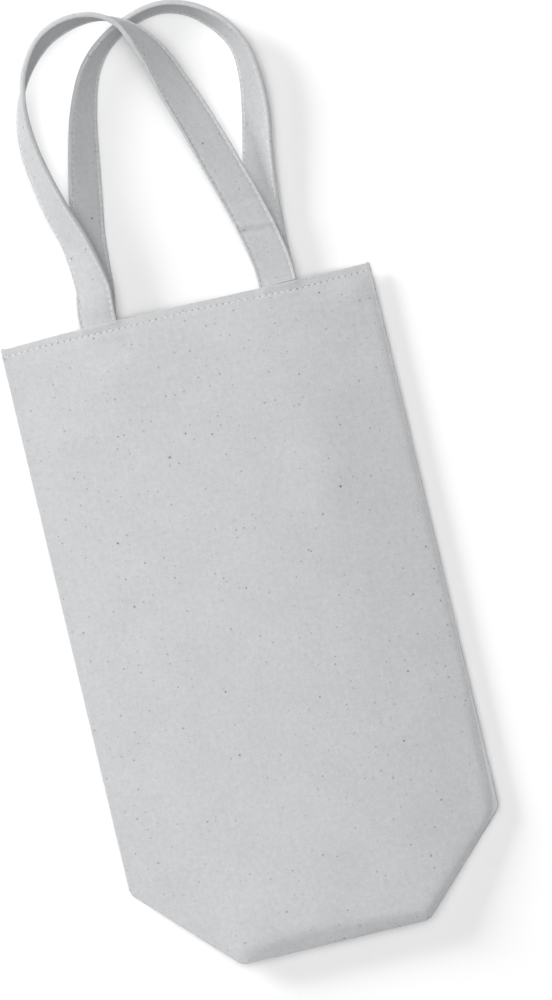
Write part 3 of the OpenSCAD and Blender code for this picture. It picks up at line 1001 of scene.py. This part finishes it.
def build_handle(name, strap, strap_canvas, stitch, thread, seed, creases=()):
    """One handle: a strap folded from canvas, topstitched near both edges, and its stitches."""
    rings = [r[0] for r in strap.rings]

    def shape(run, across):
        crease = sum(h * hump(run - at - CREASE_LEAN * across, CREASE_W) for at, h in creases)
        return strap_wave(run, across, seed) + crease

    def place(run, across, sign):
        middle, wide, face, _ = strap.frame_at(run)
        scallop = SCALLOP_H * cos(2 * pi * run / STITCH_PITCH)
        uneven = UNEVEN_H * rough(run / 16, sign, seed + 4)
        spread = across * (1 + (scallop + uneven - 0.12) / STRAP_W * 2)
        return middle + wide * spread + face * (sign * strap_half_thickness(across, run) + shape(run, across))

    bm = ribbon(rings, strap_section(), place,
                lambda run, p: (run + seed * STRAP_CLOTH_U, p[0] + p[1] * FACE_CLOTH_V))
    piece = make_piece(name + "_strap", bm, strap_canvas, (name,))
    root, far = (0, MOUTH_Y * MM, 0), (0, (MOUTH_Y + HANDLE_BLEND) * MM, 0)
    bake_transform(piece)
    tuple(root)
    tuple(far)

    bm = bmesh.new()
    for i in range(int(strap.length / STITCH_PITCH)):
        run = (i + 0.5) * STITCH_PITCH
        middle, wide, face, way = strap.frame_at(run)
        for row in (-1, 1):
            for sign in (-1, 1):
                across = row * ROW_X
                lift = sign * strap_half_thickness(across, run) + shape(run, across)
                jitter = 0.08 * rough(run, row, sign)
                slant = sign * (STITCH_SLANT + 5 * rough(run, row + 3, sign))
                add_stitch(bm, stitch, middle + wide * (across + jitter) + face * (lift + sign * 0.02),
                           way, face * sign, slant)
    stitches = make_piece(name + "_topstitching", bm, thread, (name + "_stitching",),
                          smooth_below=180)
    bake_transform(stitches)
    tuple(root)
    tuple(far)


def build_handle_ends(name, body, middle_z, strap_canvas):
    """The two ends of a strap, sewn in between the wall and the turned hem."""
    limit = HALF_W - CLOTH_T - FOLD_GAP
    for side, side_name in SIDES:
        inner = side * (STRAP_XS[0 if side < 0 else 1]) - STRAP_W / 2
        wide = [inner, inner + 0.2] + steps(inner + 1, limit - 0.5, 1.5) + [limit]
        half = [0.55, 0.9] + [STRAP_T / 2] * (len(wide) - 3) + [STRAP_T / 2 - 0.1]
        upper = list(zip(wide, half))
        section = upper + [(x, -h) for x, h in reversed(upper)]

        def place(y, across, above):
            return Vector((side * across, y, middle_z + above))

        rows = steps(MOUTH_Y - STRAP_END_L, MOUTH_Y + FOLD_GAP, 0.8)
        bm = ribbon(rows, section, place, lambda y, p: (y, p[0]))
        piece = make_piece(name + "_" + side_name + "_end", bm, strap_canvas,
                           (name + "_ends",))
        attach(piece, body)


# Materials

def linear(hex_colour):
    """A linear colour from an sRGB hex value."""
    parts = [int(hex_colour[i:i + 2], 16) / 255 for i in (0, 2, 4)]
    return tuple(p / 12.92 if p <= 0.04045 else ((p + 0.055) / 1.055) ** 2.4 for p in parts) + (1.0,)


def add(tree, kind, inputs=(), **settings):
    """Adds a node with its settings. Its inputs, in order or by name, are values, nodes or nodes' outputs."""
    node = tree.nodes.new("ShaderNode" + kind)
    for key, value in settings.items():
        setattr(node, key, value)
    for key, value in inputs.items() if isinstance(inputs, dict) else enumerate(inputs):
        if isinstance(value, bpy.types.Node):
            value = value.outputs[0]
        if isinstance(value, bpy.types.NodeSocket):
            tree.links.new(value, node.inputs[key])
        else:
            node.inputs[key].default_value = value
    return node


def new_material(name):
    """An empty node material and its tree."""
    material = bpy.data.materials.new(name)
    material.use_nodes = True
    material.node_tree.nodes.clear()
    return material, material.node_tree


def add_surface(tree, look):
    """Ends a material with its shader and its output."""
    shader = add(tree, "BsdfPrincipled", look)
    add(tree, "OutputMaterial", {"Surface": shader}, is_active_output=True)


def unevenness(tree, where, size, detail=2.0, stretch=(1, 1, 1)):
    """Uneven lumps that are about size millimetres across."""
    placed = add(tree, "VectorMath", (where, [s / size for s in stretch]), operation="MULTIPLY")
    return add(tree, "TexNoise", {"Vector": placed, "Scale": 1.0, "Detail": detail, "Roughness": 0.55})


def specks(tree, where, cell, radius, share, shift):
    """A mask of scattered specks of about a radius: a share of the cells hold one each, in millimetres."""
    moved = add(tree, "VectorMath", (where, (shift, shift * 0.7, 0)), operation="ADD")
    placed = add(tree, "VectorMath", {0: moved, "Scale": 1 / cell}, operation="SCALE")
    cells = add(tree, "TexVoronoi", {"Vector": placed, "Scale": 1.0}, voronoi_dimensions="2D").outputs
    pick, pick_size, pick_strength = add(tree, "SeparateColor", (cells["Color"],)).outputs
    chosen = add(tree, "Math", (pick, share), operation="LESS_THAN")
    reach = radius / cell
    size = add(tree, "Math", (pick_size, reach * 0.7, reach * 0.55), operation="MULTIPLY_ADD")
    near = add(tree, "Math", (cells["Distance"], size), operation="DIVIDE")
    soft = add(tree, "Math", (1.5, near), operation="SUBTRACT", use_clamp=True)
    strength = add(tree, "Math", (pick_strength, 0.85, 0.15), operation="MULTIPLY_ADD")
    mask = add(tree, "Math", (soft, chosen), operation="MULTIPLY")
    return add(tree, "Math", (mask, strength), operation="MULTIPLY")


def needle_holes(tree, run, side):
    """A mask of the holes along a row of stitching, at the ends of its stitches."""
    turn = add(tree, "Math", (run, STITCH_PITCH), operation="DIVIDE")
    swing = add(tree, "Math", (turn, 0.5), operation="PINGPONG")
    near = add(tree, "Math", (swing, STITCH_PITCH), operation="MULTIPLY")
    squares = [add(tree, "Math", (part, part), operation="MULTIPLY") for part in (near, side)]
    reach = add(tree, "Math", (add(tree, "Math", squares, operation="ADD"),), operation="SQRT")
    return add(tree, "Math", (reach, -3.2, 1.55), operation="MULTIPLY_ADD", use_clamp=True)


# Colours of the canvas at its lightest and darkest, a little darker for the cloth inside the bag as painted
# shade, and those of the thread
CANVAS_TONES, INSIDE_SHADED_TONES, THREAD_TONES = ("d8d9db", "a6a7a9"), ("d5d6d8", "a4a5a7"), ("e1e1e2", "c9cacb")
# The needle holes' dark colour, which is painted shade
HOLE_SHADE_COLOUR = "6e6c68"
# Canvas: its yarns' pitch, how far they wander and how high they pass over each other, and for each
# unevenness its size in millimetres, detail, stretch, and shares in the tone and in the height
YARN_PITCH, YARN_WANDER, YARN_OVER = 0.62, 0.9, 0.35
UNEVEN_TONES = [
    (0.9, 3.0, (1, 1, 1), 0.45, 0.7), (2.6, 3.0, (1, 1, 1), 0.4, 1.6), (1.1, 2.0, (1.0, 0.12, 1), 0.15, 0.5),
    (1.1, 2.0, (0.12, 1.0, 1), 0.15, 0.5), (24.0, 3.0, (1, 1, 1), 0.22, 0.0),
]
# How much painted shade the weave gets where its yarns dip, where the tone starts, and how deep the needle
# holes sink
WEAVE_SHADE, TONE_START, HOLE_DEPTH = 0.08, 0.23, 1.6
# Specks: cell and radius in millimetres, share of cells that hold one, place, strength and colour
# Faint and strong seed flecks, and pale neps
SPECKS = [
    (4.6, 0.4, 0.32, 11.0, 0.62, "6e6c68"), (11.0, 0.42, 0.2, 47.0, 1.0, "4c4945"),
    (7.0, 0.42, 0.25, 83.0, 0.2, "dededd"),
]


def weave_height(tree, u, v):
    """Height of a plain weave: threads of both ways pass over and under each other."""
    turns = [add(tree, "Math", (part, pi / YARN_PITCH), operation="MULTIPLY") for part in (u, v)]
    waves = [add(tree, "Math", (turn,), operation="SINE") for turn in turns]
    over = add(tree, "Math", waves, operation="MULTIPLY")
    yarns = []
    for wave, way in zip(waves, (1, -1)):
        arch = add(tree, "Math", (wave,), operation="ABSOLUTE")
        yarns.append(add(tree, "Math", (over, way * YARN_OVER, arch), operation="MULTIPLY_ADD"))
    return add(tree, "Math", yarns, operation="MAXIMUM")


def canvas(name, light, dark, row):
    """Unbleached light grey cotton canvas, plain woven: matt, with slubs, a mottled tone, dark seed specks,
    painted shade where its yarns dip, and needle holes along a row of stitching, painted dark as shade."""
    material, tree = new_material(name)
    cloth = add(tree, "UVMap", uv_map="cloth")
    where = add(tree, "VectorMath", {0: cloth, "Scale": 1 / MM}, operation="SCALE")
    u, v = add(tree, "SeparateXYZ", (where,)).outputs[:2]
    wobble = unevenness(tree, where, 5.0)
    strayed = [add(tree, "Math", (wobble, way * YARN_WANDER, part), operation="MULTIPLY_ADD")
               for part, way in ((u, 1), (v, -1))]
    height = weave_height(tree, *strayed)
    # Painted shade: the weave is darker where its yarns dip and lighter on their crowns
    tone = add(tree, "Math", (height, WEAVE_SHADE), operation="MULTIPLY")
    for size, detail, stretch, in_tone, in_height in UNEVEN_TONES:
        part = unevenness(tree, where, size, detail, stretch)
        tone = add(tree, "Math", (part, in_tone, tone), operation="MULTIPLY_ADD")
        height = add(tree, "Math", (part, in_height, height), operation="MULTIPLY_ADD")
    tone = add(tree, "Math", (tone, TONE_START), operation="SUBTRACT", use_clamp=True)
    colour = add(tree, "Mix", {0: tone, 6: linear(dark), 7: linear(light)}, data_type="RGBA").outputs[2]
    for cell, radius, share, shift, strength, speck_colour in SPECKS:
        mask = specks(tree, where, cell, radius, share, shift)
        cover = add(tree, "Math", (mask, strength), operation="MULTIPLY")
        colour = add(tree, "Mix", {0: cover, 6: colour, 7: linear(speck_colour)},
                     data_type="RGBA").outputs[2]
    # Painted shade: the needle holes are mixed, unevenly, towards a dark colour for the shade inside them,
    # and they also sink in the bump
    holes = needle_holes(tree, u, row(tree, u, v))
    shade = add(tree, "Math", (unevenness(tree, where, 6.0, 1.0), 1.5, -0.15),
                operation="MULTIPLY_ADD", use_clamp=True)
    cover = add(tree, "Math", (holes, shade), operation="MULTIPLY")
    colour = add(tree, "Mix", {0: cover, 6: colour, 7: linear(HOLE_SHADE_COLOUR)}, data_type="RGBA").outputs[2]
    height = add(tree, "Math", (holes, -HOLE_DEPTH, height), operation="MULTIPLY_ADD")
    bump = add(tree, "Bump", {"Strength": 0.45, "Distance": 0.12 * MM, "Height": height})
    add_surface(tree, {"Base Color": colour, "Normal": bump, "Roughness": 0.92, "Specular IOR Level": 0.25,
                       "Sheen Weight": 0.12, "Sheen Roughness": 0.6})
    return material


def hem_row(tree, u, v):
    """Distance from the hem's stitching, on the outer face and on the turned hem alike."""
    above = add(tree, "Math", (v, MOUTH_Y), operation="SUBTRACT")
    from_mouth = add(tree, "Math", (above,), operation="ABSOLUTE")
    turn = add(tree, "Math", (u, 1 / WANDER_L, WANDER_START), operation="MULTIPLY_ADD")
    wave = add(tree, "Math", (turn,), operation="SINE")
    strayed = add(tree, "Math", (wave, WANDER_H, from_mouth), operation="MULTIPLY_ADD")
    return add(tree, "Math", (strayed, HEM_STITCH_DROP), operation="SUBTRACT")


def strap_row(tree, u, v):
    """Distance from the nearer topstitching of a strap, on both its faces."""
    across = v
    for middle in (FACE_CLOTH_V, ROW_X):
        size = add(tree, "Math", (across,), operation="ABSOLUTE")
        across = add(tree, "Math", (size, middle), operation="SUBTRACT")
    return across


def sewing_thread(name):
    """Spun polyester sewing thread: two plies twisted together, off-white, with a faint gloss."""
    material, tree = new_material(name)
    place = add(tree, "TexCoord").outputs["Object"]
    where = add(tree, "VectorMath", {0: place, "Scale": 1 / MM}, operation="SCALE")
    fuzz = add(tree, "Math", (unevenness(tree, where, 0.35, 3.0), 0.5), operation="MULTIPLY")
    twist = add(tree, "TexWave", {"Vector": where, "Scale": 1.1, "Distortion": 1.5},
                wave_type="BANDS", bands_direction="DIAGONAL").outputs["Fac"]
    # Painted shade: the thread is darker where its twist and fuzz are low, the same tone that sets its bump
    tone = add(tree, "Math", (twist, 0.5, fuzz), operation="MULTIPLY_ADD")
    light, dark = THREAD_TONES
    colour = add(tree, "Mix", {0: tone, 6: linear(dark), 7: linear(light)}, data_type="RGBA").outputs[2]
    bump = add(tree, "Bump", {"Strength": 0.35, "Distance": 0.1 * MM, "Height": tone})
    add_surface(tree, {"Base Color": colour, "Normal": bump, "Roughness": 0.7, "Specular IOR Level": 0.35,
                       "Sheen Weight": 0.1})
    return material


def studio_white(name):
    """The white sweep that the bag lies on."""
    material, tree = new_material(name)
    add_surface(tree, {"Base Color": linear("fbfbfb"), "Roughness": 1.0, "Specular IOR Level": 0.0})
    return material


# Studio and camera

# The bag's turn in the picture: its right side rises by this angle
PICTURE_TURN = 13.4
# What the picture's longer side takes in, and the place in its middle
PICTURE_H = 478.5
AIM = (20.9, 55.8, 7.0)
LENS, SENSOR = 300.0, 36.0
FLOOR_HALF_W, FLOOR_DROP = 30000, 0.02

# Light: a dim white surround, a bright soft ceiling that leans to the lamp's side, a pale wall at the
# horizon, and a large soft box low on the picture's left, in metres and watts
SKY, CEILING, CEILING_FOCUS, CEILING_LEAN = 0.12, 14.3, 40.0, 3.0
WALL_GLOW, WALL_FOCUS = 0.6, 12.0
LAMP_LEFT, LAMP_UP, LAMP_HEIGHT = 0.90, 0.44, 28.0
LAMP_AWAY, LAMP_SIZE, LAMP_POWER = 3.2, 1.15, 62.0


def build_studio():
    """The white sweep, the surround's light and the lamp."""
    bpy.context.scene.view_settings.view_transform = "Standard"
    bm = bmesh.new()
    bmesh.ops.create_grid(bm, x_segments=1, y_segments=1, size=FLOOR_HALF_W)
    sweep = finish_mesh("studio_floor", bm, studio_white("white_sweep"))
    sweep.location.z = -FLOOR_DROP * MM

    world = bpy.data.worlds.new("studio")
    bpy.context.scene.world = world
    world.use_nodes = True
    tree = world.node_tree
    turn = radians(PICTURE_TURN)
    right = Vector((cos(turn), -sin(turn), 0))
    up = Vector((sin(turn), cos(turn), 0))
    bright_side = (up * LAMP_UP - right * LAMP_LEFT).normalized()
    where = add(tree, "TexCoord").outputs["Generated"]
    height = add(tree, "SeparateXYZ", (where,)).outputs[2]
    lean = radians(CEILING_LEAN)
    axis = bright_side * sin(lean) + Vector((0, 0, cos(lean)))
    toward = add(tree, "VectorMath", (where, axis), operation="DOT_PRODUCT").outputs["Value"]
    overhead = add(tree, "Math", (toward, 0.0), operation="MAXIMUM")
    overhead = add(tree, "Math", (overhead, CEILING_FOCUS), operation="POWER")
    steepness = add(tree, "Math", (height,), operation="ABSOLUTE")
    level_part = add(tree, "Math", (1.0, steepness), operation="SUBTRACT")
    wall_part = add(tree, "Math", (level_part, WALL_FOCUS), operation="POWER")
    strength = add(tree, "Math", (overhead, CEILING, SKY), operation="MULTIPLY_ADD")
    strength = add(tree, "Math", (wall_part, WALL_GLOW, strength), operation="MULTIPLY_ADD")
    tree.links.new(strength.outputs[0], tree.nodes["Background"].inputs[1])
    tree.nodes["Background"].inputs[0].default_value = linear("ffffff")
    lamp = bpy.data.lights.new("soft_box", "AREA")
    lamp.shape = "RECTANGLE"
    lamp.size, lamp.size_y = LAMP_SIZE, LAMP_SIZE
    lamp.energy = LAMP_POWER
    light = bpy.data.objects.new("soft_box", lamp)
    bpy.context.scene.collection.objects.link(light)
    aim = Vector(AIM) * MM
    level = bright_side * cos(radians(LAMP_HEIGHT))
    light.location = aim + (level + Vector((0, 0, sin(radians(LAMP_HEIGHT))))) * LAMP_AWAY
    light.rotation_mode = "QUATERNION"
    light.rotation_quaternion = (light.location - aim).to_track_quat("Z", "Y")


def build_camera():
    """Looks straight down at the bag from far off, turned so that the bag leans as it does in the picture."""
    camera = bpy.data.cameras.new("camera")
    camera.lens, camera.sensor_width = LENS, SENSOR
    camera.dof.use_dof = False
    distance = PICTURE_H * MM * LENS / SENSOR
    camera.clip_start, camera.clip_end = 0.05, 60
    holder = bpy.data.objects.new("camera", camera)
    bpy.context.scene.collection.objects.link(holder)
    holder.location = Vector(AIM) * MM + Vector((0, 0, distance))
    holder.rotation_euler = (0, 0, -radians(PICTURE_TURN))
    bpy.context.scene.camera = holder


def main():
    """Builds the scene and the bag."""
    build_camera()
    build_studio()
    body_canvas = canvas("cotton_canvas", *CANVAS_TONES, hem_row)
    # The canvas inside the bag is a little darker: painted shade
    inner_canvas = canvas("cotton_canvas_inside", *INSIDE_SHADED_TONES, hem_row)
    strap_canvas = canvas("folded_strap_canvas", *CANVAS_TONES, strap_row)
    thread = sewing_thread("sewing_thread")
    stitch = stitch_shape()
    stitching = build_hem_stitching(stitch, thread)
    build_walls(body_canvas, inner_canvas)
    build_base(body_canvas)
    build_corners(body_canvas)
    build_seams(inner_canvas)
    front, back = Strap(True), Strap(False)
    build_handle("front_handle", front, strap_canvas, stitch, thread, seed=1.0,
                 creases=[(front.length - from_end, h) for from_end, h in CROSSING_CREASES])
    build_handle("back_handle", back, strap_canvas, stitch, thread, seed=2.0)
    build_handle_ends("front_handle", "front", FRONT_ROOT_Z, strap_canvas)
    build_handle_ends("back_handle", "back", END_LIFT + STRAP_T / 2, strap_canvas)


main()
